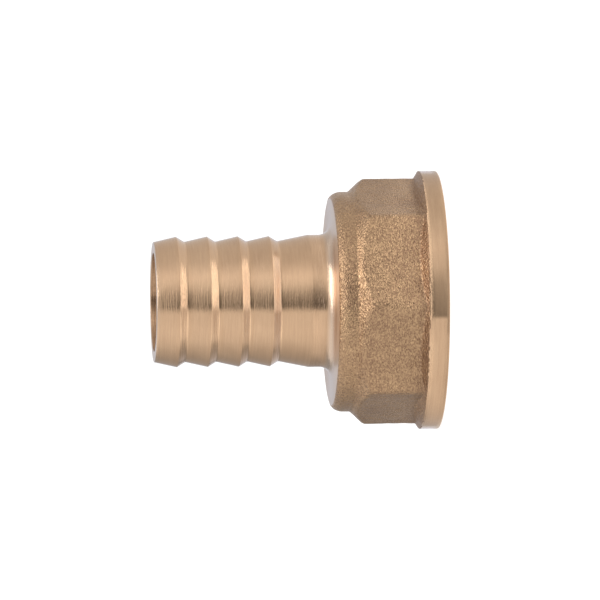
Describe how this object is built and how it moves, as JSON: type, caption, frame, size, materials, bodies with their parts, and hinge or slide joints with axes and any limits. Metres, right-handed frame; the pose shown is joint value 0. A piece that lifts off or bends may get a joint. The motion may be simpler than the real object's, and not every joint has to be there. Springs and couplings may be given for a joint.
{
  "type": "threaded hose nipple",
  "caption": "Brass hose nipple: barbed tail with a waterway through it, and an octagon nut whose flanged end holds a female pipe thread.",
  "frame": {"origin": "centre of the flange's end face, at the socket's mouth, on which the piece stands", "axes": "+Z along the axis from the socket's mouth to the tip of the barbed tail; +X and +Y out of two of the octagon's flats"},
  "size_m": [0.034, 0.034, 0.0374],
  "materials": {
    "brass": "satin turned brass on the tail, the hub's top and the flange's rim; grainy shot-blasted casting skin on the octagon and behind the flange"
  },
  "bodies": {
    "root": {"hose_nipple": "brass"}
  },
  "joints": []
}
